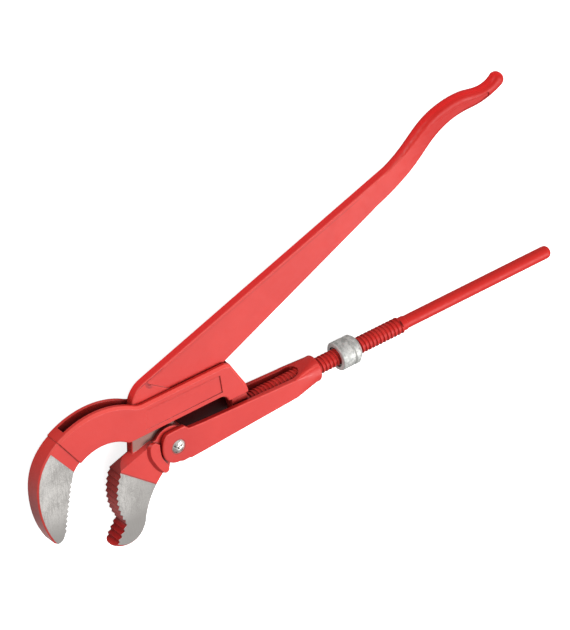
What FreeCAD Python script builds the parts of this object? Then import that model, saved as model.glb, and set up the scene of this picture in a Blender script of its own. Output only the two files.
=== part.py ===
"""Swedish-pattern pipe wrench with S-shaped jaws, for pipes up to 2 inches.

The wrench lies flat: +X runs along the spindle from the hook jaw to the tail,
+Y points to the long handle's side and +Z is the normal of the wrench's plane.
Every piece is drawn about the pivot rivet's centre and then moved, so that the
origin is at the bottom centre of the whole wrench.
"""

import FreeCAD, Part

import math
import os

V = FreeCAD.Vector

# ---- Driving dimensions, in millimetres -------------------------------------
# Half thicknesses, measured from the wrench's middle plane.
HOOK_HALF = 9.65
JAW_HALF = 8.2
PLATE_HALF = 4.2
GRIP_HALF = 6.0
GRIP_ROUNDING = 5.4
GRIP_BEARING = 22.0
GRIP_TAPER_START = 268.0
GRIP_TAPER_END = 335.0
SLOT_HALF = 4.5
FRAME_HALF = 12.9
FRAME_GAP_HALF = 8.5

# Reach of the prisms that cut shallow panels and taper whole pieces.
PANEL_CUT = 5.0
UPRIGHT_REACH = 95.0
LEVER_PANEL_SLOPE = 0.24
LEVER_PANEL_END = 220.0
LEVER_EDGE = 0.7
GRIP_CHANNEL_START = 294.0
GRIP_CHANNEL_SLOPE = 1.2

# Hook jaw: slotted shank, spindle and tail, all one forging.
SLOT_START = -104.5
SLOT_END = 62.5
FORGED_EDGE = 2.3
NOSE_EDGE = 1.3
INNER_EDGE = 0.8
HOOK_TEETH = 10
TOOTH_DEPTH = 1.8
PANEL_DEPTH = 0.9
THREAD_PITCH = 3.75
THREAD_RADIUS = 7.5
THREAD_CORE = 6.3
THREAD_START = 80.0
THREAD_END = 241.0
ROOT_START = 64.0
STAKE_AT = 236.0
STAKE_DEPTH = 1.5
STAKE_WIDTH = 1.4
STAKE_LENGTH = 9.0
STAKE_ANGLE = -50.0
TAIL_RADIUS = 5.75
TAIL_ROUNDING = 4.6
TAIL_END = 394.0
WEB_HALF = 5.6
PANEL_END = 51.5
PANEL_SLOPE = 0.5

# Handle: long lever and lower jaw in one forging.
BOSS_RADIUS = 15.6
JAW_BEVEL = (5.0, 8.2)
JAW_BACK_BEVEL = (7.6, 8.2)
BEVEL_OVERRUN = 1.5
SHOULDER_INNER = 16.6
SHOULDER_RISE = 2.4
SHOULDER_SKIRT = 0.2
JAW_TEETH = 9
TIP_TEETH = 4
TIP_TOOTH_DEPTH = 2.2
TIP_CENTRE = (-56.6, -57.2)
TIP_RADIUS = 21.4
TIP_CROWN = 10.5

# Frame: two cheeks that meet in a collar round the spindle.
LOBE_RADIUS = 15.5
FRAME_EDGE = 0.7
COLLAR_RADIUS = 11.8
COLLAR_ROUNDING = 2.0
ARM_TOP = 6.9
ARM_BOTTOM = -11.0
BLEND_START = 121.0
BLEND_END = 145.0
COLLAR_END = 150.0
COLLAR_BORE = THREAD_RADIUS + 0.1
WINDOW_END = 132.0

# Rivet and adjusting nut.
RIVET_RADIUS = 4.5
RIVET_HEAD_RADIUS = 6.4
RIVET_HEAD_HEIGHT = 2.6
RIVET_CLEARANCE = 0.05
NUT_START = 171.5
NUT_LENGTH = 20.5
NUT_RADIUS = 12.9
NUT_GROOVE_RADIUS = 11.6
NUT_BORE = THREAD_RADIUS + 0.08
NUT_COUNTERBORE = 9.2


# ---- Drawing helpers --------------------------------------------------------
def outline(start, *steps):
    """Closed wire in the wrench's plane. A step is a point for a straight run,
    two points for an arc (through, to), or a longer list for a smooth curve."""
    edges = []
    here = V(*start)
    for step in list(steps) + [start]:
        points = [V(*p) for p in step] if isinstance(step[0], tuple) else [V(*step)]
        there = points[-1]
        if here.distanceToPoint(there) < 1e-6:
            continue
        if len(points) == 1:
            edges.append(Part.LineSegment(here, there).toShape())
        elif len(points) == 2:
            edges.append(Part.Arc(here, points[0], there).toShape())
        else:
            curve = Part.BSplineCurve()
            curve.interpolate([here] + points)
            edges.append(curve.toShape())
        here = there
    return Part.Wire(edges)


def slab(wire, low, high):
    """Plate between two heights, from a closed wire at height zero."""
    plate = Part.Face(wire).extrude(V(0, 0, high - low))
    plate.translate(V(0, 0, low))
    return plate


def plate(wire, half):
    return slab(wire, -half, half)


def upright(wire):
    """Tall prism over a wire drawn in the plane of the spindle and the rivet."""
    prism = slab(wire, -UPRIGHT_REACH, UPRIGHT_REACH)
    prism.rotate(V(0, 0, 0), V(1, 0, 0), 90)
    return prism


def teeth(start, through, end, count, depth, lean=0.5):
    """Points of a row of pointed teeth along an arc. Tips are on the arc, and
    valleys are cut to the left of the direction of travel."""
    arc = Part.Arc(V(*start), V(*through), V(*end))
    first, last = arc.FirstParameter, arc.LastParameter
    points = []
    for i in range(count):
        step = (last - first) / count
        at = first + step * (i + lean)
        along = V(*arc.tangent(at)[0])
        left = V(-along.y, along.x, 0)
        valley = arc.value(at) + left * depth
        tip = arc.value(first + step * (i + 1))
        points += [(valley.x, valley.y), (tip.x, tip.y)]
    return points


def level_edges(shape, half, keep):
    """Edges that lie in the two outer faces and whose middle passes keep(x, y)."""
    found = []
    for edge in shape.Edges:
        box = edge.BoundBox
        flat = box.ZLength < 1e-6 and abs(abs(box.ZMax) - half) < 1e-6
        middle = edge.valueAt((edge.FirstParameter + edge.LastParameter) / 2)
        if flat and keep(middle.x, middle.y):
            found.append(edge)
    return found


def end_rim(shape, x):
    """The round edge of a cylinder's end at x."""
    return [e for e in shape.Edges if abs(e.BoundBox.XMin - x) < 0.01 and e.BoundBox.XLength < 0.01]


def bevel(shape, start, end, height, size):
    """Cuts one long corner of a slab along a straight run, at the top or the
    bottom face by the sign of height. The material lies to the right of the
    direction of travel, and size is (width in the plane, depth)."""
    here, there = V(*start), V(*end)
    along = there - here
    along.normalize()
    out = V(-along.y, along.x, 0)
    width, depth = size
    up = V(0, 0, depth if height > 0 else -depth)
    corner = here - along * BEVEL_OVERRUN + V(0, 0, height)
    points = [corner - out * 2 * width + up, corner + out * width - up * 2, corner + out * width + up]
    section = Part.Face(Part.makePolygon(points + points[:1]))
    return shape.cut(section.extrude(there - here + along * 2 * BEVEL_OVERRUN))


def sunk(wire, floor, pivot, slope):
    """Cutters for a shallow panel in both faces. The floor is at the given
    height where x is the pivot, and tilts by slope degrees about it."""
    cutter = slab(wire, floor, floor + PANEL_CUT)
    cutter.rotate(V(pivot, 0, floor), V(0, 1, 0), slope)
    return [cutter, cutter.mirror(V(0, 0, 0), V(0, 0, 1))]


def tube(radius, start, end):
    """Cylinder along the spindle's axis."""
    return Part.makeCylinder(radius, end - start, V(start, 0, 0), V(1, 0, 0))


# ---- Hook jaw ---------------------------------------------------------------
def hook_shank():
    """Thick, slotted part of the hook: arch, straight shank and end block."""
    wire = outline(
        (-94.0, 28.0),
        [(-71.5, 34.4), (-47.0, 25.9)],
        [(-44.4, 24.6), (-41.5, 24.2)],
        (48.0, 24.2),
        [(53.6, 22.6), (56.8, 17.4)],
        (76.5, 17.4),
        (76.5, 24.0),
        (63.2, 51.0),
        (58.0, 53.6),
        (-26.0, 54.2),
        [(-30.6, 54.8), (-35.0, 56.6)],
        [(-79.0, 68.7), (-113.4, 58.6)],
    )
    shank = plate(wire, HOOK_HALF)
    outer = level_edges(shank, HOOK_HALF, lambda x, y: -100 < x < 76 and y > 36)
    shank = shank.makeChamfer(FORGED_EDGE, outer)
    inner = level_edges(shank, HOOK_HALF, lambda x, y: -100 < x < 58 and 18 < y < 36)
    return shank.makeChamfer(INNER_EDGE, inner)


def hook_nose():
    """Thinner toothed claw that carries on from the arch."""
    tooth_points = teeth((-104.3, 13.5), (-110.2, -8.6), (-116.0, -31.4), HOOK_TEETH, -TOOTH_DEPTH)
    wire = outline(
        (-89.0, 32.6),
        (-94.2, 28.9),
        [(-101.6, 22.0), (-104.3, 13.5)],
        *tooth_points,
        (-118.4, -34.4),
        [(-121.0, -38.8), (-125.4, -40.4)],
        (-129.0, -38.6),
        [(-136.6, -18.4), (-139.8, 6.0), (-133.6, 37.0), (-114.0, 57.4), (-105.0, 61.4)],
        (-94.0, 50.0),
    )
    nose = plate(wire, JAW_HALF)
    return nose.makeChamfer(NOSE_EDGE, level_edges(nose, JAW_HALF, lambda x, y: x < -128))


def spindle():
    """Threaded spindle and smooth tail bar, with a stake mark near the thread's end."""
    core = tube(THREAD_CORE, THREAD_START - 2, THREAD_END + 2)
    root = tube(THREAD_RADIUS, ROOT_START, THREAD_START)
    tail = tube(TAIL_RADIUS, THREAD_END, TAIL_END)
    tail = tail.makeFillet(TAIL_ROUNDING, end_rim(tail, TAIL_END))
    turns_length = THREAD_END - THREAD_START - THREAD_PITCH
    helix = Part.makeHelix(THREAD_PITCH, turns_length, THREAD_CORE)
    root_half = THREAD_PITCH * 0.36
    crest_half = THREAD_PITCH * 0.17
    inner = THREAD_CORE - 0.4
    corners = [
        V(inner, 0, -root_half),
        V(THREAD_RADIUS, 0, -crest_half),
        V(THREAD_RADIUS, 0, crest_half),
        V(inner, 0, root_half),
    ]
    profile = Part.makePolygon(corners + corners[:1])
    ridge = Part.Wire(helix).makePipeShell([profile], True, True)
    ridge.rotate(V(0, 0, 0), V(0, 1, 0), 90)
    ridge.translate(V(THREAD_START + THREAD_PITCH * 0.4, 0, 0))
    floor = THREAD_RADIUS - STAKE_DEPTH
    corner = V(STAKE_AT, -STAKE_LENGTH / 2, floor)
    stake = Part.makeBox(STAKE_WIDTH, STAKE_LENGTH, THREAD_RADIUS, corner)
    stake.rotate(V(STAKE_AT, 0, 0), V(1, 0, 0), STAKE_ANGLE)
    return core.fuse([root, tail, ridge]).cut(stake)


def hook_jaw():
    body = hook_shank().fuse(hook_nose())
    slot = Part.makeBox(SLOT_END - SLOT_START, 90, 2 * SLOT_HALF, V(SLOT_START, 23, -SLOT_HALF))
    body = body.cut(slot)
    web = plate(
        outline(
            (61.0, 22.0),
            (62.6, 4.0),
            (66.0, 0.0),
            (78.0, 0.0),
            (77.0, 10.0),
            (76.5, 22.0),
        ),
        WEB_HALF,
    )
    panel = outline((-27.5, 29.2), (PANEL_END, 28.6), (PANEL_END - 0.5, 46.4), (-24.5, 48.2))
    body = body.fuse([web, spindle()])
    return body.cut(sunk(panel, HOOK_HALF - PANEL_DEPTH, PANEL_END, PANEL_SLOPE)).removeSplitter()


# ---- Handle with the lower jaw ----------------------------------------------
def lower_jaw():
    """Toothed lower jaw and the round boss that turns on the rivet."""
    row = teeth((-57.4, -2.5), (-64.4, -28.5), (-58.5, -53.2), JAW_TEETH, TOOTH_DEPTH, 0.45)
    tip_row = teeth((-61.0, -57.6), (-64.8, -62.4), (-70.6, -70.4), TIP_TEETH - 1, TIP_TOOTH_DEPTH, 0.4)
    wire = outline(
        (4.0, 17.2),
        [(-7.6, 20.4), (-18.4, 13.8)],
        (-46.0, 8.6),
        [(-53.0, 3.9), (-57.4, -2.5)],
        *row,
        (-57.2, -55.3),
        (-61.0, -57.6),
        *tip_row,
        (-72.0, -71.6),
        [(-58.6, -79.2), (-42.0, -66.8)],
        [(-39.4, -62.4), (-38.0, -57.4)],
        [(-29.6, -38.0), (-15.5, -21.5)],
        (-9.0, -20.0),
        (-7.0, -14.0),
        [(BOSS_RADIUS, 0.0), (5.0, 14.8)],
    )
    jaw = plate(wire, JAW_HALF)
    ridge = ((-59.6, 4.05), (-24.1, 15.7))
    jaw = bevel(jaw, *ridge, JAW_HALF, JAW_BEVEL)
    jaw = bevel(jaw, *ridge, -JAW_HALF, JAW_BACK_BEVEL)
    return jaw.cut(tip_waste())


def tip_waste():
    """What is ground off the lower jaw's tip, to leave it round and proudest at
    the middle of its thickness."""
    half = JAW_HALF + 1.0
    rim = TIP_RADIUS - TIP_CROWN + math.sqrt(TIP_CROWN**2 - half**2)
    profile = outline((0.0, -half), (rim, -half), [(TIP_RADIUS, 0.0), (rim, half)], (0.0, half))
    barrel = Part.Face(profile).revolve(V(0, 0, 0), V(0, 1, 0), 360)
    barrel.rotate(V(0, 0, 0), V(1, 0, 0), 90)
    barrel.translate(V(*TIP_CENTRE))
    zone = outline(TIP_CENTRE, (-90.0, TIP_CENTRE[1]), (-90.0, -90.0), (-20.0, -90.0), (-20.0, -81.3))
    return plate(zone, half).cut(barrel)


def shoulder(side):
    """Raised round shoulder on one flank, which nests the cheek's round end."""
    inner = [(-16.2, -3.6), (-16.8, 3.0)]
    top = outline(
        (-16.6, 8.8),
        (-19.8, 12.0),
        [(-24.4, 11.6), (-26.3, 8.0)],
        [(-26.0, 0.0), (-23.4, -6.8)],
        [(-20.2, -13.6), (-16.4, -19.4)],
        [(-12.8, -21.4), (-10.4, -18.6)],
        (-10.6, -15.6),
        (-13.9, -9.4),
        *inner,
    )
    foot = outline(
        (-16.6, 8.8),
        (-20.0, 12.2),
        [(-26.2, 11.9), (-28.7, 7.6)],
        [(-28.5, -1.2), (-25.8, -8.2)],
        [(-22.4, -15.0), (-17.6, -20.6)],
        [(-12.8, -21.6), (-10.4, -18.6)],
        (-10.6, -15.6),
        (-13.9, -9.4),
        *inner,
    )
    foot.translate(V(0, 0, JAW_HALF - SHOULDER_SKIRT))
    top.translate(V(0, 0, JAW_HALF + SHOULDER_RISE))
    ring = Part.makeLoft([foot, top], True, True)
    ring = ring.cut(Part.makeCylinder(SHOULDER_INNER, 40))
    if side < 0:
        ring = ring.mirror(V(0, 0, 0), V(0, 0, 1))
    return ring


def lever():
    """Flat lever: neck through the hook's slot, heel and long tapered arm."""
    wire = outline(
        (-41.5, 2.0),
        [(-39.6, 20.0), (-37.6, 38.0)],
        (-35.0, 54.5),
        [(-30.6, 64.2), (-20.0, 71.6)],
        (246.0, 160.4),
        (246.0, 140.0),
        (222.0, 127.6),
        (7.0, 28.4),
        (0.0, 10.0),
    )
    arm = plate(wire, PLATE_HALF)
    upper = level_edges(arm, PLATE_HALF, lambda x, y: y > 60 and y > 0.42 * x + 55)
    return arm.makeChamfer(LEVER_EDGE, upper)


def lever_panel():
    """Shallow panel between the lever's rims, with a round end at the heel."""
    return outline(
        (-13.6, 66.4),
        [(-16.8, 69.4), (-12.4, 71.2)],
        (214.0, 147.0),
        [(224.0, 136.0), (214.0, 110.0)],
        (60.0, 40.0),
        (16.0, 45.0),
    )


def grip():
    """Thicker rounded grip that follows an S and thins into the lever."""
    wire = outline(
        (232.0, 155.7),
        [(250.0, 163.6), (262.0, 171.2), (276.0, 182.2), (291.0, 191.4), (311.0, 197.0),
         (331.0, 196.8), (345.0, 194.2), (353.0, 195.4), (359.4, 199.8)],
        [(368.2, 197.0), (365.8, 187.8)],
        [(354.0, 182.8), (340.0, 179.9), (325.0, 179.6), (309.0, 176.6), (293.0, 168.6),
         (279.0, 157.4), (265.0, 147.0), (250.0, 138.6), (233.0, 131.0), (214.0, 124.6)],
    )
    body = plate(wire, GRIP_HALF)
    body = body.makeFillet(GRIP_ROUNDING, level_edges(body, GRIP_HALF, lambda x, y: x > 240))
    taper = outline(
        (150.0, PLATE_HALF),
        (GRIP_TAPER_START, PLATE_HALF),
        (GRIP_TAPER_END, GRIP_HALF),
        (460.0, GRIP_HALF + 1),
        (460.0, -GRIP_HALF - 1),
        (GRIP_TAPER_END, -GRIP_HALF),
        (GRIP_TAPER_START, -PLATE_HALF),
        (150.0, -PLATE_HALF),
    )
    wedge = upright(taper).copy()
    wedge.rotate(V(0, 0, 0), V(0, 0, 1), GRIP_BEARING)
    return body.common(wedge)


def grip_channel():
    """Shallow channel that deepens towards a round end near the grip's tip."""
    return outline(
        (GRIP_CHANNEL_START, 174.6),
        (GRIP_CHANNEL_START, 184.0),
        [(314.0, 189.4), (332.0, 189.8), (347.0, 189.2)],
        [(351.0, 187.0), (347.4, 185.0)],
        [(336.0, 183.2), (326.0, 183.6), (313.0, 181.0), (302.0, 177.6)],
    )


def handle():
    body = lower_jaw().fuse([lever(), grip(), shoulder(1), shoulder(-1)])
    hole = Part.makeCylinder(RIVET_RADIUS + RIVET_CLEARANCE, 60, V(0, 0, -30))
    recess = sunk(lever_panel(), PLATE_HALF, LEVER_PANEL_END, -LEVER_PANEL_SLOPE)
    channel = sunk(grip_channel(), GRIP_HALF, GRIP_CHANNEL_START, GRIP_CHANNEL_SLOPE)
    return body.cut([hole] + recess + channel).removeSplitter()


# ---- Frame, rivet and nut ---------------------------------------------------
def collar_section(u, low, high, half, corner, bulge):
    """Closed wire across the spindle at u: a box with round corners and sides
    that bulge a little, or a circle of eight arcs if corner is None."""
    side_angle = math.radians(15)
    if corner is None:
        corner = half * (1 - math.sin(side_angle))
        bulge = half * (1 - math.cos(side_angle))
        inset = half * (1 - math.sqrt(0.5))
    else:
        inset = corner * (1 - math.sqrt(0.5))
    middle = (low + high) / 2
    points = [
        (high - bulge, corner - half), (high, 0.0), (high - bulge, half - corner),
        (high - inset, half - inset), (high - corner, half - bulge), (middle, half),
        (low + corner, half - bulge), (low + inset, half - inset), (low + bulge, half - corner),
        (low, 0.0), (low + bulge, corner - half), (low + inset, inset - half),
        (low + corner, bulge - half), (middle, -half), (high - corner, bulge - half),
        (high - inset, inset - half),
    ]
    spots = [V(u, v, z) for v, z in points + points[:1]]
    return Part.Wire([Part.Arc(*spots[i : i + 3]).toShape() for i in range(0, len(points), 2)])


def frame():
    side = outline(
        (8.4, 16.8),
        (12.4, 12.8),
        (28.0, 11.4),
        (BLEND_START, ARM_TOP),
        (BLEND_START, ARM_BOTTOM),
        (25.0, -16.9),
        (12.2, -17.5),
        (9.8, -16.7),
        (3.2, -16.8),
        (0.0, -LOBE_RADIUS),
        [(-10.96, -10.96), (-LOBE_RADIUS, 0.0)],
        (-15.5, 3.2),
        (-15.1, 6.6),
        (-14.3, 9.9),
        (-13.0, 12.8),
        (-11.2, 15.1),
        (-9.2, 16.4),
        (-7.0, 16.8),
    )
    arms = plate(side, FRAME_HALF)
    edges = level_edges(arms, FRAME_HALF, lambda x, y: x < BLEND_START - 1)
    arms = arms.makeChamfer(FRAME_EDGE, edges)
    ends = [
        collar_section(BLEND_START, ARM_BOTTOM, ARM_TOP, FRAME_HALF, FRAME_EDGE, 0.02),
        collar_section(BLEND_END, -COLLAR_RADIUS, COLLAR_RADIUS, COLLAR_RADIUS, None, None),
    ]
    blend = Part.makeLoft(ends, True)
    collar = tube(COLLAR_RADIUS, BLEND_END, COLLAR_END)
    collar = collar.makeFillet(COLLAR_ROUNDING, end_rim(collar, COLLAR_END))
    body = arms.fuse([blend, collar])
    middle = WINDOW_END - FRAME_GAP_HALF
    window = outline(
        (-40.0, FRAME_GAP_HALF),
        (middle, FRAME_GAP_HALF),
        [(WINDOW_END, 0.0), (middle, -FRAME_GAP_HALF)],
        (-40.0, -FRAME_GAP_HALF),
    )
    bore = tube(COLLAR_BORE, WINDOW_END - 20, COLLAR_END + 10)
    hole = Part.makeCylinder(RIVET_RADIUS, 60, V(0, 0, -30))
    return body.cut([upright(window), bore, hole]).removeSplitter()


def rivet():
    shank = Part.makeCylinder(RIVET_RADIUS, 2 * FRAME_HALF, V(0, 0, -FRAME_HALF))
    ball_radius = (RIVET_HEAD_RADIUS**2 + RIVET_HEAD_HEIGHT**2) / (2 * RIVET_HEAD_HEIGHT)
    heads = []
    for side in (1, -1):
        centre = side * (FRAME_HALF + RIVET_HEAD_HEIGHT - ball_radius)
        ball = Part.makeSphere(ball_radius, V(0, 0, centre))
        block = Part.makeCylinder(20, 20, V(0, 0, side * FRAME_HALF), V(0, 0, side))
        heads.append(ball.common(block))
    return shank.fuse(heads).removeSplitter()


def nut():
    end = NUT_START + NUT_LENGTH
    groove = NUT_START + 0.6 * NUT_LENGTH
    section = [
        (NUT_START, NUT_COUNTERBORE), (NUT_START, NUT_RADIUS - 0.8), (NUT_START + 0.8, NUT_RADIUS),
        (groove - 1.2, NUT_RADIUS), (groove - 0.6, NUT_GROOVE_RADIUS), (groove + 0.9, NUT_GROOVE_RADIUS),
        (groove + 1.5, NUT_RADIUS), (end - 3.0, NUT_RADIUS), (end, NUT_RADIUS - 2.6),
        (end, NUT_BORE), (NUT_START + 2.0, NUT_BORE), (NUT_START + 2.0, NUT_COUNTERBORE),
    ]
    wire = outline(section[0], *section[1:])
    return Part.Face(wire).revolve(V(0, 0, 0), V(1, 0, 0), 360)


# ---- Assembly ---------------------------------------------------------------
def main():
    pieces = {
        "hook_jaw": hook_jaw(),
        "handle": handle(),
        "frame": frame(),
        "pivot_rivet": rivet(),
        "adjusting_nut": nut(),
    }
    box = FreeCAD.BoundBox()
    for shape in pieces.values():
        box.add(shape.optimalBoundingBox())
    shift = V(-box.Center.x, -box.Center.y, -box.ZMin)
    os.makedirs("parts", exist_ok=True)
    for name, shape in pieces.items():
        moved = shape.copy()
        moved.translate(shift)
        print(name, "valid", moved.isValid(), "solids", len(moved.Solids), "volume", round(moved.Volume))
        moved.exportStep(f"parts/{name}.step")
    print("pivot centre", tuple(round(c, 3) for c in shift))
    print("overall", round(box.XLength, 1), round(box.YLength, 1), round(box.ZLength, 1))


main()
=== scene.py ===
"""Looks of a corner pipe wrench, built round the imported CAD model.

Places written as (u, v) are millimetres from the pivot rivet's centre: u along the
spindle towards the tail and v towards the long handle. Z is normal to the wrench.
"""

import bpy
from mathutils import Matrix, Vector


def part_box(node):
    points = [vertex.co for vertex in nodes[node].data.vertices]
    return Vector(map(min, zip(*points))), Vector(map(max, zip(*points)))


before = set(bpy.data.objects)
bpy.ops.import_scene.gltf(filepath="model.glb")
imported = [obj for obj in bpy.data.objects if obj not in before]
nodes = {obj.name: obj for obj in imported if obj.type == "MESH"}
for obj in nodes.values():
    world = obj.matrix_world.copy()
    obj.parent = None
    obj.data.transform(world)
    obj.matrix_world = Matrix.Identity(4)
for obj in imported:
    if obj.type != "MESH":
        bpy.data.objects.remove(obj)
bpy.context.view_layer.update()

low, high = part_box("pivot_rivet")
PIVOT = (low + high) / 2
MM = 0.001


def place(u, v):
    """A place in millimetres from the pivot, as metres in the row's frame."""
    return PIVOT + Vector((u, v, 0)) * MM


# ---- Node helpers -----------------------------------------------------------
class Graph:
    """A material, with short names for the shader nodes that it is made of.

    A mask is 0 to 1 over the surface. Lengths and distances are in metres, and
    only places are in millimetres.
    """

    def __init__(self, name):
        self.material = bpy.data.materials.new(name)
        self.material.use_nodes = True
        self.tree = self.material.node_tree
        self.tree.nodes.clear()
        output = self.add("ShaderNodeOutputMaterial")
        self.shader = self.add("ShaderNodeBsdfPrincipled")
        self.link(self.shader.outputs[0], output.inputs["Surface"])
        self.position = self.add("ShaderNodeTexCoord").outputs["Object"]

    def add(self, kind, **settings):
        node = self.tree.nodes.new(kind)
        for key, value in settings.items():
            setattr(node, key, value)
        return node

    def link(self, source, target):
        """Feed a socket from another socket, a number or a colour."""
        if isinstance(source, (int, float)):
            target.default_value = source
        elif isinstance(source, tuple):
            target.default_value = (*source, 1.0)
        else:
            self.tree.links.new(source, target)

    def feed(self, name, source):
        """Feed one of the surface shader's own sockets."""
        self.link(source, self.shader.inputs[name])

    # Arithmetic
    def math(self, operation, a, b=0.0):
        node = self.add("ShaderNodeMath", operation=operation)
        self.link(a, node.inputs[0])
        self.link(b, node.inputs[1])
        return node.outputs[0]

    def chain(self, operation, first, others):
        for other in others:
            first = self.math(operation, first, other)
        return first

    def product(self, first, *others):
        return self.chain("MULTIPLY", first, others)

    def total(self, first, *others):
        return self.chain("ADD", first, others)

    def largest(self, first, *others):
        return self.chain("MAXIMUM", first, others)

    def off(self, mask):
        """1 where the mask is 0, and 0 where it is 1."""
        return self.math("SUBTRACT", 1.0, mask)

    def gap(self, a, b):
        """How far two values are apart."""
        return self.math("ABSOLUTE", self.math("SUBTRACT", a, b))

    def smooth(self, value, start, end):
        """0 before start and 1 past end, whichever of the two is the greater."""
        node = self.add("ShaderNodeMapRange", interpolation_type="SMOOTHSTEP", clamp=True)
        self.link(value, node.inputs["Value"])
        rising = start < end
        node.inputs["From Min"].default_value = min(start, end)
        node.inputs["From Max"].default_value = max(start, end)
        node.inputs["To Min"].default_value = 0.0 if rising else 1.0
        node.inputs["To Max"].default_value = 1.0 if rising else 0.0
        return node.outputs[0]

    def mix(self, factor, a, b):
        """Colour a where the factor is 0, and b where it is 1."""
        node = self.add("ShaderNodeMix", data_type="RGBA", clamp_factor=True)
        for socket, source in ((0, factor), (6, a), (7, b)):
            self.link(source, node.inputs[socket])
        return node.outputs[2]

    def blend(self, factor, a, b):
        """Number a where the factor is 0, and b where it is 1."""
        node = self.add("ShaderNodeMix", data_type="FLOAT", clamp_factor=True)
        for socket, source in ((0, factor), (2, a), (3, b)):
            self.link(source, node.inputs[socket])
        return node.outputs[0]

    # Textures
    def stretched(self, scale):
        node = self.add("ShaderNodeVectorMath", operation="MULTIPLY")
        self.link(self.position, node.inputs[0])
        node.inputs[1].default_value = scale
        return node.outputs[0]

    def noise(self, scale, detail, rough, vector=None):
        node = self.add("ShaderNodeTexNoise")
        self.link(vector or self.position, node.inputs["Vector"])
        node.inputs["Scale"].default_value = scale
        node.inputs["Detail"].default_value = detail
        node.inputs["Roughness"].default_value = rough
        return node.outputs["Fac"]

    # Places
    def axes(self):
        node = self.add("ShaderNodeSeparateXYZ")
        self.link(self.position, node.inputs[0])
        return node.outputs

    def along_u(self, start, end):
        """0 before start and 1 past end, two places along u."""
        return self.smooth(self.axes()["X"], place(start, 0).x, place(end, 0).x)

    def along_v(self, start, end):
        """0 before start and 1 past end, two places along v."""
        return self.smooth(self.axes()["Y"], place(0, start).y, place(0, end).y)

    def across(self, first, second):
        """Distance to the left of a line through two places, seen from +Z."""
        start, end = place(*first), place(*second)
        along = (end - start).normalized()
        left = Vector((-along.y, along.x, 0))
        axes = self.axes()
        total = self.total(self.product(axes["X"], left.x), self.product(axes["Y"], left.y))
        return self.math("SUBTRACT", total, left.dot(start))

    def away_from(self, u, v):
        """Distance from a place, in the wrench's plane."""
        axes = self.axes()
        centre = place(u, v)
        x = self.math("SUBTRACT", axes["X"], centre.x)
        y = self.math("SUBTRACT", axes["Y"], centre.y)
        return self.math("SQRT", self.total(self.product(x, x), self.product(y, y)))

    def off_middle(self):
        """Distance from the wrench's middle plane."""
        return self.gap(self.axes()["Z"], PIVOT.z)

    # Faces and edges
    def normal_part(self, axis):
        normal = self.add("ShaderNodeNewGeometry").outputs["True Normal"]
        parts = self.add("ShaderNodeSeparateXYZ")
        self.link(normal, parts.inputs[0])
        return parts.outputs[axis]

    def facing_flat(self):
        """1 on the flanks, 0 on the faces that stand square to them."""
        return self.math("ABSOLUTE", self.normal_part("Z"))

    def on_flank(self):
        """Mask of the flat flanks."""
        return self.smooth(self.facing_flat(), 0.90, 0.97)

    def on_side(self):
        """Mask of the faces that stand square to the flanks."""
        return self.off(self.smooth(self.facing_flat(), 0.3, 0.8))

    def rounded(self, radius):
        """Shading normal of edges rounded by a radius."""
        node = self.add("ShaderNodeBevel", samples=6)
        node.inputs["Radius"].default_value = radius
        return node.outputs[0]

    def near_edge(self, rounded):
        """1 where rounding has turned the shading normal off the surface's own."""
        flat = self.add("ShaderNodeNewGeometry").outputs["Normal"]
        node = self.add("ShaderNodeVectorMath", operation="DOT_PRODUCT")
        self.link(rounded, node.inputs[0])
        self.link(flat, node.inputs[1])
        return self.smooth(node.outputs["Value"], 0.985, 0.90)

    def sheltered(self, reach, start, full):
        """1 deep in slots and corners, 0 on open surfaces: a mask for painted shade.
        Start and full are how open the surface is where the painted shade starts and where it
        is full."""
        node = self.add("ShaderNodeAmbientOcclusion", samples=6)
        node.inputs["Distance"].default_value = reach
        return self.smooth(node.outputs["AO"], start, full)

    def bump(self, height, strength, distance, normal=None):
        node = self.add("ShaderNodeBump")
        node.inputs["Strength"].default_value = strength
        node.inputs["Distance"].default_value = distance
        self.link(height, node.inputs["Height"])
        if normal is not None:
            self.link(normal, node.inputs["Normal"])
        return node.outputs[0]


# ---- Colours ----------------------------------------------------------------
RED = (0.800, 0.036, 0.026)
RED_DEEP = (0.700, 0.022, 0.016)
# Dark red of worn specks, also used for painted shade in lines and round the rivet.
RED_WEAR_AND_SHADE = (0.300, 0.030, 0.024)
# Lighter red for edge wear, and for a painted highlight on slanted faces.
RED_WEAR_AND_HIGHLIGHT = (1.000, 0.110, 0.090)
RED_DUSTY = (0.560, 0.190, 0.185)
RED_BROWN = (0.210, 0.045, 0.040)
RED_DULL = (0.620, 0.013, 0.010)
RED_SHADE = (0.420, 0.007, 0.009)
# Painted light on the lever's side walls and the grip's sides.
RED_LIT_SIDE = (1.000, 0.020, 0.018)
RED_CHALKY = (1.000, 0.400, 0.390)
# Painted shade laid into slots and corners.
PAINTED_SHADE_RED = (0.055, 0.004, 0.005)
# Painted shade inside between the frame's cheeks.
INSIDE_SHADE_RED = (0.095, 0.004, 0.006)
STEEL = (0.620, 0.600, 0.575)
STEEL_DARK = (0.310, 0.295, 0.280)
STEEL_EDGE = (0.740, 0.720, 0.700)
# Painted shade on bare steel in slots.
STEEL_PAINTED_SHADE = (0.160, 0.050, 0.040)
NECK_BROWN = (0.330, 0.150, 0.120)
RIVET_GREY = (0.660, 0.620, 0.580)
RIVET_BRIGHT = (0.900, 0.860, 0.820)
RIVET_PIT = (0.100, 0.080, 0.070)
ZINC_DULL = (0.440, 0.450, 0.430)
ZINC = (0.740, 0.740, 0.710)
# Painted light on the nut's end, and painted shade in its corners.
ZINC_END_LIGHT = (0.950, 0.950, 0.920)
ZINC_SHADE = (0.100, 0.100, 0.095)
PAPER_SHADE = (0.900, 0.900, 0.900)
PAPER = (0.920, 0.920, 0.920)
PAPER_BOUNCE = (0.420, 0.420, 0.420)


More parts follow.
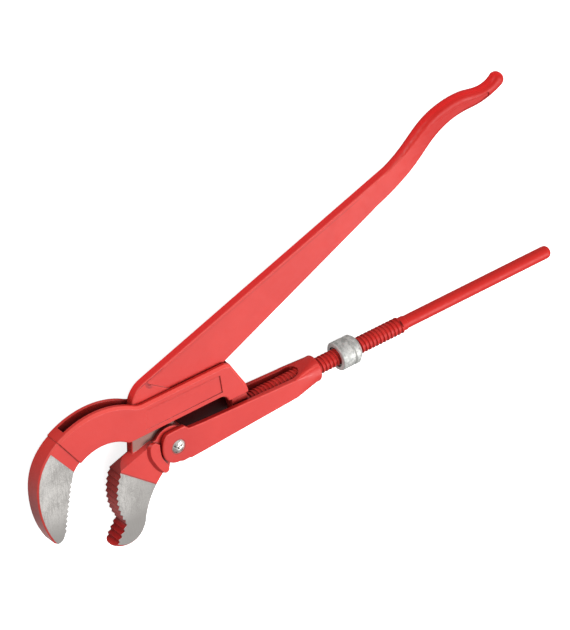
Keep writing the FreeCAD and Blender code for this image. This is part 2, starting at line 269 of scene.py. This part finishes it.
# ---- Paint and steel --------------------------------------------------------
# From here on, a pair whose name ends in _U or _V is the two places between which a
# mask goes from 0 to 1, and one that ends in _REACH is two distances that do so too.
# A number from 0 to 1 is how strongly a mask shows, but for SLANT, which is how
# squarely a slanted face lies to the flanks, and the shader's own _SHEEN and _METAL.
BROAD_TONE = 0.45
SPECK_TONE = 0.25
# Edge wear and a painted highlight on slanted faces: how strongly both show, which slant gets
# the highlight, and how strongly the highlight shows.
EDGE_WEAR_AND_HIGHLIGHT = 0.70
SLANT = 0.70
SLANT_HIGHLIGHT = 0.90
# Strengths of the painted shade: in small corners, and in slots on glossy and on dull enamel.
CORNER_SHADE = 0.80
GLOSSY_SLOT_SHADE = 0.92
DULL_SLOT_SHADE = 0.66
GLOSSY_SHEEN = 0.50
DULL_SHEEN = 0.25
STEEL_METAL = 0.60
STEEL_EDGE_WEAR = 0.60
# Strength of the painted shade on bare steel in slots.
STEEL_SLOT_SHADE = 0.80
SCRATCH_SCALE = (700.0, 90.0, 90.0)
EDGE_RADIUS = 0.9 * MM
SKIN_DEPTH = 0.4 * MM
BORDER_REACH = (0.25 * MM, -0.25 * MM)


def paint(graph):
    """Red enamel over a forged skin: returns colour, roughness and height."""
    broad = graph.smooth(graph.noise(scale=22, detail=3, rough=0.6), 0.35, 0.65)
    colour = graph.mix(graph.product(broad, BROAD_TONE), RED, RED_DEEP)
    specks = graph.smooth(graph.noise(scale=900, detail=2, rough=0.5), 0.70, 0.78)
    colour = graph.mix(graph.product(specks, SPECK_TONE), colour, RED_WEAR_AND_SHADE)
    sheen = graph.smooth(graph.noise(scale=160, detail=4, rough=0.6), 0.3, 0.7)
    roughness = graph.blend(sheen, 0.34, 0.50)
    skin = graph.product(graph.noise(scale=330, detail=4, rough=0.6), 0.6)
    waves = graph.product(graph.noise(scale=85, detail=3, rough=0.5), 0.9)
    return colour, roughness, graph.total(skin, waves)


def ground(graph):
    """Ground bare steel with fine scratches: returns colour, roughness and height."""
    scratches = graph.noise(scale=1, detail=4, rough=0.7, vector=graph.stretched(SCRATCH_SCALE))
    cloud = graph.noise(scale=45, detail=3, rough=0.5)
    grain = graph.noise(scale=1500, detail=2, rough=0.6)
    tone = graph.total(
        graph.product(scratches, 0.35),
        graph.product(cloud, 0.30),
        graph.product(grain, 0.35),
    )
    colour = graph.mix(graph.smooth(tone, 0.62, 0.38), STEEL, STEEL_DARK)
    roughness = graph.blend(graph.smooth(scratches, 0.3, 0.7), 0.42, 0.60)
    return colour, roughness, graph.product(scratches, 0.25)


def slot_shade_of(graph):
    """Mask of painted shade in slots, and of less of it in small corners."""
    slots = graph.sheltered(22 * MM, 0.72, 0.28)
    corners = graph.sheltered(2.2 * MM, 0.84, 0.34)
    return graph.largest(slots, graph.product(corners, CORNER_SHADE))


def wear_and_highlight(graph, worn, dull):
    """Mask of lighter paint: worn patches along edges, and a painted highlight on slanted faces
    that aren't dull.
    """
    patches = graph.smooth(graph.noise(scale=120, detail=3, rough=0.6), 0.30, 0.60)
    slanted = graph.smooth(graph.gap(graph.facing_flat(), SLANT), 0.10, 0.04)
    return graph.largest(
        graph.product(worn, patches),
        graph.product(slanted, graph.off(dull), SLANT_HIGHLIGHT),
    )


def dress(graph, stain_and_painted_light, dull, shade=None, steel=None, tint=None):
    """Enamel all over, or where the steel mask is 0, and ground steel where it is 1.

    The first pair, a mask and a colour for the enamel, holds stains and tones and also
    painted light and shade, and tint is one for the steel. The enamel has less sheen
    where the dull mask is 1, and painted shade where shade is 1.
    """
    edge = graph.rounded(EDGE_RADIUS)
    worn = graph.near_edge(edge)
    cavity_shade = slot_shade_of(graph)
    colour, roughness, height = paint(graph)
    colour = graph.mix(stain_and_painted_light[0], colour, stain_and_painted_light[1])
    # Lighter red: wear along edges, and a painted highlight on slanted faces.
    colour = graph.mix(graph.product(wear_and_highlight(graph, worn, dull), EDGE_WEAR_AND_HIGHLIGHT), colour, RED_WEAR_AND_HIGHLIGHT)
    if shade is not None:
        colour = graph.mix(shade, colour, RED_SHADE)
    # Painted shade darkens the enamel in slots and corners, less where it is dull.
    painted_shade = graph.product(cavity_shade, graph.blend(dull, GLOSSY_SLOT_SHADE, DULL_SLOT_SHADE))
    colour = graph.mix(painted_shade, colour, PAINTED_SHADE_RED)
    if steel is not None:
        bare, bare_roughness, bare_height = ground(graph)
        bare = graph.mix(tint[0], bare, tint[1])
        bare = graph.mix(graph.product(worn, STEEL_EDGE_WEAR), bare, STEEL_EDGE)
        # Painted shade darkens the bare steel in slots.
        bare = graph.mix(graph.product(cavity_shade, STEEL_SLOT_SHADE), bare, STEEL_PAINTED_SHADE)
        colour = graph.mix(steel, colour, bare)
        roughness = graph.blend(steel, roughness, bare_roughness)
        height = graph.blend(steel, height, bare_height)
        graph.feed("Metallic", graph.product(steel, STEEL_METAL))
    graph.feed("Base Color", colour)
    graph.feed("Roughness", roughness)
    graph.feed("Specular IOR Level", graph.blend(dull, GLOSSY_SHEEN, DULL_SHEEN))
    graph.feed("Normal", graph.bump(height, 0.30, SKIN_DEPTH, edge))
    return graph.material


# ---- Hook jaw ---------------------------------------------------------------
CLAW_BORDER = ((-121.0, 49.7), (-101.4, 22.2))
CLAW_BACK_U = (-112, -124)
CLAW_BACK_V = (60, -24)
CLAW_CHALK_V = (-4, -34)
CLAW_DARK_V = (0, -38)
SPINDLE_U = (78, 81)
SPINDLE_STAIN = 0.60


def hook_material():
    """A dull spindle, and a claw with a dusty back and ground flanks."""
    graph = Graph("hook_paint_and_steel")
    claw = graph.smooth(graph.across(*CLAW_BORDER), *BORDER_REACH)
    back = graph.product(
        graph.on_side(),
        graph.along_u(*CLAW_BACK_U),
        graph.along_v(*CLAW_BACK_V),
    )
    dust = graph.mix(graph.along_v(*CLAW_CHALK_V), RED_DUSTY, RED_CHALKY)
    spindle = graph.along_u(*SPINDLE_U)
    stained = graph.largest(back, graph.product(spindle, SPINDLE_STAIN))
    return dress(
        graph,
        stain_and_painted_light=(stained, graph.mix(spindle, dust, RED_DULL)),
        dull=spindle,
        steel=graph.product(graph.on_flank(), claw),
        tint=(graph.along_v(*CLAW_DARK_V), STEEL_DARK),
    )


# ---- Handle -----------------------------------------------------------------
JAW_BORDER = ((-57.2, -1.3), (-24.8, -29.0))
JAW_U = (-10, -14)
JAW_DARK_U = (-60, -36)
JAW_DARK_V = (-30, -58)
JAW_DARK_TONE = 0.60

NECK_U = (12, 6)
NECK_FOOT_V = (9, 9.6)
NECK_TOP_V = (52, 50)
NECK_REACH = (5.0 * MM, 4.5 * MM)
NECK_STAIN = 0.85

# Painted shade in a line on the enamel beside the jaw's ground steel.
BORDER_LINE_REACH = (0.0, 0.2 * MM)
BORDER_LINE_END_REACH = (1.3 * MM, 0.9 * MM)
BORDER_SHADE_LINE = 0.80

# Painted shade in a line inside the lever's rim.
LEVER_RIM = ((-12.4, 71.2), (214.0, 147.0))
RIM_START_U = (-12, -6)
RIM_END_U = (236, 200)
RIM_LINE_PLACE = -0.4 * MM
RIM_LINE_REACH = (0.9 * MM, 0.3 * MM)
RIM_SHADE_LINE = 0.60

# Where the lever's side walls get painted light, and the dull grip with painted light on its
# sides.
LEVER_WALL_V = (58, 64)
GRIP_U = (236, 300)
GRIP_TONE_AND_SIDE_LIGHT = 0.85

TEETH_U = (-44, -52)
TEETH_V = (12, 8)
TEETH_DUST_V = (-18, -44)
TEETH_TIP_V = (-54, -57)
TEETH_END_V = (-69, -72)
# Strengths of the teeth's dust and painted shade, and at the jaw's very end.
TEETH_DUST_AND_SHADE = 0.85
TEETH_END_DUST_AND_SHADE = 0.20

HEEL_RIB_END = (-11.5, 70.0)
HOLLOW_U = (-11, -14)
HOLLOW_V = (61.5, 64.5)
HOLLOW_INNER_REACH = (3.8 * MM, 4.8 * MM)
HOLLOW_OUTER_REACH = (8.6 * MM, 7.0 * MM)
BROW = ((-14.0, 71.4), (-3.0, 75.1))
BROW_U = (3, -2)
BROW_V = (64, 68)
BROW_REACH = (-0.1 * MM, 0.4 * MM)
HEEL_SHADE = 0.80

SKIRT_START_U = (-32, -29)
SKIRT_END_U = (-12, -15)
SKIRT_V = (11, 8)
SKIRT_SHADE = 0.70


def handle_steel(graph, border):
    """Masks of all the handle's bare steel, and of the part that is the neck."""
    jaw = graph.product(graph.smooth(border, *BORDER_REACH), graph.along_u(*JAW_U))
    neck = graph.product(
        graph.smooth(graph.off_middle(), *NECK_REACH),
        graph.along_v(*NECK_FOOT_V),
        graph.along_v(*NECK_TOP_V),
        graph.along_u(*NECK_U),
    )
    return graph.product(graph.on_flank(), graph.largest(jaw, neck)), neck


def handle_lines(graph, border):
    """Mask of painted shade in lines beside the ground steel and inside the lever's rim."""
    beside = graph.product(
        graph.on_flank(),
        graph.smooth(border, *BORDER_LINE_REACH),
        graph.smooth(border, *BORDER_LINE_END_REACH),
        graph.along_u(*JAW_U),
        BORDER_SHADE_LINE,
    )
    from_line = graph.gap(graph.across(*LEVER_RIM), RIM_LINE_PLACE)
    inside_rim = graph.product(
        graph.smooth(from_line, *RIM_LINE_REACH),
        graph.on_flank(),
        graph.along_u(*RIM_START_U),
        graph.along_u(*RIM_END_U),
        RIM_SHADE_LINE,
    )
    return graph.largest(beside, inside_rim)


def teeth_dust_and_shade(graph):
    """Mask and colour of the lower jaw's teeth, partly dust and partly painted shade: brown,
    then dusty further out, and shade-dark at the tips. Its very end is darkened less.
    """
    mask = graph.product(
        graph.on_side(),
        graph.along_u(*TEETH_U),
        graph.along_v(*TEETH_V),
        graph.blend(graph.along_v(*TEETH_END_V), TEETH_DUST_AND_SHADE, TEETH_END_DUST_AND_SHADE),
    )
    upper = graph.mix(graph.along_v(*TEETH_DUST_V), RED_BROWN, RED_DUSTY)
    return mask, graph.mix(graph.along_v(*TEETH_TIP_V), upper, RED_SHADE)


def heel_shade(graph):
    """Mask of the hollow round the end of the rib at the heel, and of its brow."""
    distance = graph.away_from(*HEEL_RIB_END)
    hollow = graph.product(
        graph.smooth(distance, *HOLLOW_INNER_REACH),
        graph.smooth(distance, *HOLLOW_OUTER_REACH),
        graph.along_u(*HOLLOW_U),
        graph.along_v(*HOLLOW_V),
    )
    brow = graph.product(
        graph.smooth(graph.across(*BROW), *BROW_REACH),
        graph.along_u(*BROW_U),
        graph.along_v(*BROW_V),
    )
    return graph.product(graph.largest(hollow, brow), graph.on_flank(), HEEL_SHADE)


def skirt_shade(graph):
    """Mask of the slope under the boss's raised shoulder."""
    facing = graph.facing_flat()
    return graph.product(
        graph.smooth(facing, 0.90, 0.80),
        graph.smooth(facing, 0.45, 0.55),
        graph.along_u(*SKIRT_END_U),
        graph.along_u(*SKIRT_START_U),
        graph.along_v(*SKIRT_V),
        SKIRT_SHADE,
    )


def handle_tint(graph, neck):
    """Mask and colour of the brown neck and of the darker parts of the ground jaw."""
    jaw = graph.largest(
        graph.product(graph.along_u(*JAW_DARK_U), JAW_DARK_TONE),
        graph.along_v(*JAW_DARK_V),
    )
    mask = graph.largest(graph.product(neck, NECK_STAIN), jaw)
    return mask, graph.mix(neck, STEEL_DARK, NECK_BROWN)


def handle_material():
    """A lever with painted light on its side walls, a dull grip with painted light on its
    sides, a bare neck and a ground jaw.
    """
    graph = Graph("handle_paint_and_steel")
    border = graph.across(*JAW_BORDER)
    steel, neck = handle_steel(graph, border)
    side = graph.on_side()
    lines = handle_lines(graph, border)
    teeth, teeth_colour = teeth_dust_and_shade(graph)
    # Painted light brightens the lever's side walls.
    lit_wall = graph.product(side, graph.along_v(*LEVER_WALL_V))
    grip = graph.along_u(*GRIP_U)
    # The lines of painted shade take the darker red.
    colour = graph.mix(lines, RED, RED_WEAR_AND_SHADE)
    colour = graph.mix(teeth, colour, teeth_colour)
    colour = graph.mix(lit_wall, colour, RED_LIT_SIDE)
    # The grip is dull on its flanks, with painted light on its sides.
    grip_colour = graph.mix(side, RED_DULL, RED_LIT_SIDE)
    colour = graph.mix(graph.product(grip, GRIP_TONE_AND_SIDE_LIGHT), colour, grip_colour)
    return dress(
        graph,
        stain_and_painted_light=(graph.largest(lines, teeth, lit_wall, grip), colour),
        dull=grip,
        shade=graph.largest(skirt_shade(graph), heel_shade(graph)),
        steel=steel,
        tint=handle_tint(graph, neck),
    )


# ---- Frame ------------------------------------------------------------------
# Painted shade round the rivet's head and inside between the cheeks: reaches and strengths.
RIVET_RING_REACH = (8.4 * MM, 6.9 * MM)
RIVET_RING_SHADE = 0.75
INSIDE_REACH = (9.2 * MM, 8.7 * MM)
COLLAR_U = (70, 96)
INSIDE_SHADE = 0.95
COLLAR_INSIDE_SHADE = 0.35
LOBE_U = (44, 4)
LOBE_STAIN = 0.50
LEDGE_V = (2, 5)
LEDGE_START_U = (10, 16)
LEDGE_END_U = (66, 56)
LEDGE_SHADE = 0.75


def frame_material():
    """Painted shade round the rivet's head, inside between the cheeks and on the cheeks' upper
    ledges.
    """
    graph = Graph("frame_paint")
    # Painted shade in a ring round the foot of the rivet's head.
    ring = graph.smooth(graph.away_from(0, 0), *RIVET_RING_REACH)
    ring = graph.product(ring, RIVET_RING_SHADE)
    # Painted shade on the cheeks' inner faces, weaker towards the collar.
    inside = graph.product(
        graph.smooth(graph.off_middle(), *INSIDE_REACH),
        graph.blend(graph.along_u(*COLLAR_U), INSIDE_SHADE, COLLAR_INSIDE_SHADE),
    )
    lobe = graph.product(graph.along_u(*LOBE_U), LOBE_STAIN)
    ledge = graph.product(
        graph.on_side(),
        graph.along_v(*LEDGE_V),
        graph.along_u(*LEDGE_START_U),
        graph.along_u(*LEDGE_END_U),
        LEDGE_SHADE,
    )
    colour = graph.mix(ring, graph.mix(inside, RED_DULL, INSIDE_SHADE_RED), RED_WEAR_AND_SHADE)
    return dress(
        graph,
        stain_and_painted_light=(graph.largest(ring, inside, lobe), colour),
        dull=inside,
        shade=ledge,
    )


# ---- Rivet and nut ----------------------------------------------------------
RIVET_METAL = 0.90
DENT_DEPTH = 1.2 * MM
ZINC_METAL = 0.45
# Strengths of the painted light on the nut's end and the painted shade in its corners.
ZINC_END_LIGHT_TONE = 0.80
ZINC_CORNER_SHADE = 0.80
ZINC_EDGE_RADIUS = 0.4 * MM
NUT_RADIUS = 12.9 * MM
KNURL_TEETH = 46
KNURL_DEPTH = 0.2 * MM


def rivet_material():
    """Bright hammered steel."""
    graph = Graph("rivet_bright_steel")
    tone = graph.noise(scale=400, detail=3, rough=0.6)
    bright = graph.mix(graph.smooth(tone, 0.35, 0.7), RIVET_GREY, RIVET_BRIGHT)
    dents = graph.noise(scale=330, detail=2, rough=0.5)
    pits = graph.smooth(dents, 0.42, 0.34)
    graph.feed("Base Color", graph.mix(pits, bright, RIVET_PIT))
    graph.feed("Roughness", graph.blend(tone, 0.22, 0.36))
    graph.feed("Metallic", RIVET_METAL)
    graph.feed("Normal", graph.bump(dents, 0.9, DENT_DEPTH))
    return graph.material


def knurl(graph):
    """Height of crossed ridges round the nut, which its end faces don't have."""
    axes = graph.axes()
    v = graph.math("SUBTRACT", axes["Y"], PIVOT.y)
    z = graph.math("SUBTRACT", axes["Z"], PIVOT.z)
    turn = graph.product(graph.math("ARCTAN2", v, z), KNURL_TEETH)
    lead = graph.product(axes["X"], KNURL_TEETH / NUT_RADIUS)
    right = graph.math("SINE", graph.total(turn, lead))
    left = graph.math("SINE", graph.math("SUBTRACT", turn, lead))
    rim = graph.smooth(graph.math("ABSOLUTE", graph.normal_part("X")), 0.5, 0.2)
    return graph.product(graph.largest(right, left), rim, 0.5)


def zinc_material():
    """Cloudy zinc plate over a fine diamond knurl, with painted light on the end by the frame
    and painted shade in its corners.
    """
    graph = Graph("nut_zinc_plate")
    cloud = graph.noise(scale=210, detail=4, rough=0.7)
    colour = graph.mix(graph.smooth(cloud, 0.38, 0.62), ZINC_DULL, ZINC)
    # Painted light makes the end by the frame paler.
    end = graph.smooth(graph.normal_part("X"), -0.5, -0.9)
    colour = graph.mix(graph.product(end, ZINC_END_LIGHT_TONE), colour, ZINC_END_LIGHT)
    # Painted shade in the nut's corners.
    cavity_shade = graph.sheltered(4 * MM, 0.62, 0.12)
    colour = graph.mix(graph.product(cavity_shade, ZINC_CORNER_SHADE), colour, ZINC_SHADE)
    skin = graph.product(graph.noise(scale=500, detail=3, rough=0.6), 0.8)
    height = graph.total(knurl(graph), skin)
    graph.feed("Base Color", colour)
    graph.feed("Roughness", graph.blend(cloud, 0.42, 0.58))
    graph.feed("Metallic", ZINC_METAL)
    graph.feed("Normal", graph.bump(height, 0.45, KNURL_DEPTH, graph.rounded(ZINC_EDGE_RADIUS)))
    return graph.material


def put(node, material):
    slots = nodes[node].data.materials
    slots.clear()
    slots.append(material)


put("hook_jaw", hook_material())
put("handle", handle_material())
put("frame", frame_material())
put("pivot_rivet", rivet_material())
put("adjusting_nut", zinc_material())


# ---- Floor ------------------------------------------------------------------
FLOOR_HALF = 12.0
FLOOR_DROP = 0.4 * MM
FLOOR_GLOW = 0.84


def floor_material():
    """Pale paper. It shows bright, and sends less light back up at the object."""
    graph = Graph("pale_floor")
    direct = graph.add("ShaderNodeLightPath").outputs["Is Camera Ray"]
    paper = graph.mix(graph.noise(scale=3, detail=2, rough=0.5), PAPER_SHADE, PAPER)
    graph.feed("Base Color", graph.mix(direct, PAPER_BOUNCE, paper))
    graph.feed("Roughness", 0.9)
    graph.feed("Specular IOR Level", 0.1)
    graph.feed("Emission Color", (1.0, 1.0, 1.0))
    graph.feed("Emission Strength", graph.product(direct, FLOOR_GLOW))
    return graph.material


def pale_floor():
    corners = ((-1, -1), (1, -1), (1, 1), (-1, 1))
    points = [(x * FLOOR_HALF, y * FLOOR_HALF, 0.0) for x, y in corners]
    mesh = bpy.data.meshes.new("floor")
    mesh.from_pydata(points, [], [(0, 1, 2, 3)])
    mesh.materials.append(floor_material())
    floor = bpy.data.objects.new("floor", mesh)
    floor.location = (0, 0, -FLOOR_DROP)
    bpy.context.scene.collection.objects.link(floor)
    return floor


pale_floor()


# ---- Camera -----------------------------------------------------------------
RIGHT = Vector((0.812, -0.106, 0.573)).normalized()
BACK = RIGHT.cross(Vector((0.406, 0.808, -0.425))).normalized()
UP = BACK.cross(RIGHT)
VIEW_HEIGHT = 0.52941
LENS = 1400.0
SENSOR = 36.0
CLIP_START = 1.0
CLIP_PAST_TARGET = 20.0

# The middle of the view, given as offsets from the pivot along the picture's sides.
TARGET = PIVOT + RIGHT * 0.09664 + UP * 0.10504


def photo_camera():
    """A long lens far off, so that parallel edges stay nearly parallel."""
    distance = VIEW_HEIGHT * LENS / SENSOR
    lens = bpy.data.cameras.new("camera")
    lens.sensor_width = SENSOR
    lens.lens = LENS
    lens.clip_start = CLIP_START
    lens.clip_end = distance + CLIP_PAST_TARGET
    camera = bpy.data.objects.new("camera", lens)
    turn = Matrix((RIGHT, UP, BACK)).transposed()
    camera.matrix_world = Matrix.Translation(TARGET + BACK * distance) @ turn.to_4x4()
    bpy.context.scene.collection.objects.link(camera)
    return camera


bpy.context.scene.camera = photo_camera()


# ---- Light ------------------------------------------------------------------
BRIGHT_SIDE = Vector((0.75, 0.15, 0.65)).normalized()


def soft_light(name, towards, distance, size, power):
    light = bpy.data.lights.new(name, "AREA")
    light.shape = "DISK"
    light.size = size
    light.energy = power
    item = bpy.data.objects.new(name, light)
    direction = Vector(towards).normalized()
    item.location = TARGET + direction * distance
    item.rotation_euler = direction.to_track_quat("Z", "Y").to_euler()
    bpy.context.scene.collection.objects.link(item)


def studio_world():
    """White studio, brighter on the side that the key light comes from."""
    world = bpy.data.worlds.new("studio")
    world.use_nodes = True
    tree = world.node_tree
    background = tree.nodes["Background"]
    background.inputs["Color"].default_value = (1.0, 1.0, 1.0, 1.0)
    direction = tree.nodes.new("ShaderNodeTexCoord")
    facing = tree.nodes.new("ShaderNodeVectorMath")
    facing.operation = "DOT_PRODUCT"
    facing.inputs[1].default_value = BRIGHT_SIDE
    tree.links.new(direction.outputs["Generated"], facing.inputs[0])
    level = tree.nodes.new("ShaderNodeMapRange")
    level.inputs["From Min"].default_value = -0.5
    level.inputs["From Max"].default_value = 0.9
    level.inputs["To Min"].default_value = 0.08
    level.inputs["To Max"].default_value = 0.70
    tree.links.new(facing.outputs["Value"], level.inputs["Value"])
    tree.links.new(level.outputs[0], background.inputs["Strength"])
    return world


soft_light("key", towards=(0.55, -0.25, 1.0), distance=2.0, size=1.2, power=24)
soft_light("fill", towards=(-0.6, 0.8, 0.3), distance=2.2, size=1.0, power=15)
bpy.context.scene.world = studio_world()
bpy.context.scene.view_settings.view_transform = "Standard"

bpy.context.view_layer.update()
